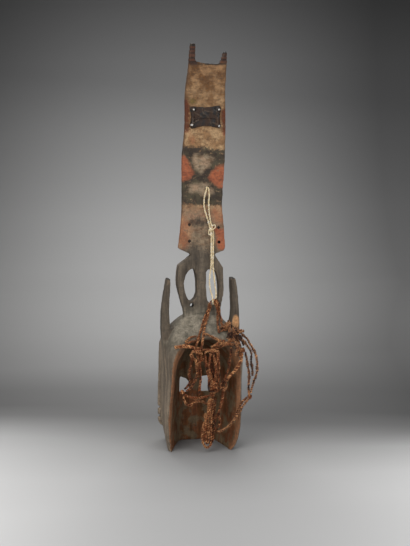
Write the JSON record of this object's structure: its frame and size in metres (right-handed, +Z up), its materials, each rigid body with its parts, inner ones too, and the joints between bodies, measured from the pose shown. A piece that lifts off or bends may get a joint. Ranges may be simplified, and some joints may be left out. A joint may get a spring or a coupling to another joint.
{
  "type": "kanaga mask",
  "caption": "Carved wooden dance mask with a hollow face box, horns and a tall painted plank, with hide lashing, a cotton string and a fibre cord harness.",
  "frame": {"origin": "on the floor plane, at the middle of the carved wood's box seen from above", "axes": "+Z up along the plank, -Y the way the face looks, +Y the open hollow, +X the wearer's left"},
  "size_m": [0.2556, 0.2159, 1.1],
  "materials": {
    "wood": "dry weathered wood with worn tan, red ochre and dark earth paint",
    "rawhide": "dark hide, dried hard and glossy on its ridges",
    "cotton": "pale twisted cotton string",
    "fibre": "reddish brown twisted plant fibre, rough and frayed"
  },
  "bodies": {
    "root": {"carved_mask": "wood", "rawhide_lashing": "rawhide", "cotton_string": "cotton", "string_stopper_knot": "cotton", "knot_cluster": "fibre", "knot_left": "fibre", "knot_outer": "fibre", "knot_tail": "fibre", "knot_shoulder": "fibre", "cord_apex": "fibre", "cord_apex_left": "fibre", "cord_apex_right": "fibre", "cord_cross": "fibre", "cord_braid": "fibre", "cord_rim": "fibre", "cord_rim_left": "fibre", "cord_rim_left_low": "fibre", "cord_coil": "fibre", "cord_left_outer": "fibre", "cord_left_middle": "fibre", "cord_left_low": "fibre", "cord_low": "fibre", "cord_strand_1": "fibre", "cord_strand_2": "fibre", "cord_strand_3": "fibre", "cord_strand_4": "fibre", "cord_strand_5": "fibre", "cord_front_1": "fibre", "cord_front_2": "fibre", "cord_inner_right": "fibre", "cord_thick": "fibre", "cord_ring": "fibre", "cord_drop": "fibre", "cord_drop_left": "fibre", "cord_outer": "fibre", "cord_outer_inner": "fibre", "cord_outer_middle": "fibre", "cord_outer_short": "fibre", "cord_outer_low": "fibre", "cord_outer_double": "fibre", "cord_shoulder_1": "fibre", "cord_shoulder_2": "fibre", "cord_shoulder_3": "fibre", "cord_shoulder_4": "fibre", "tail_loop_front": "fibre", "tail_loop_middle": "fibre", "tail_loop_back": "fibre"}
  },
  "joints": []
}
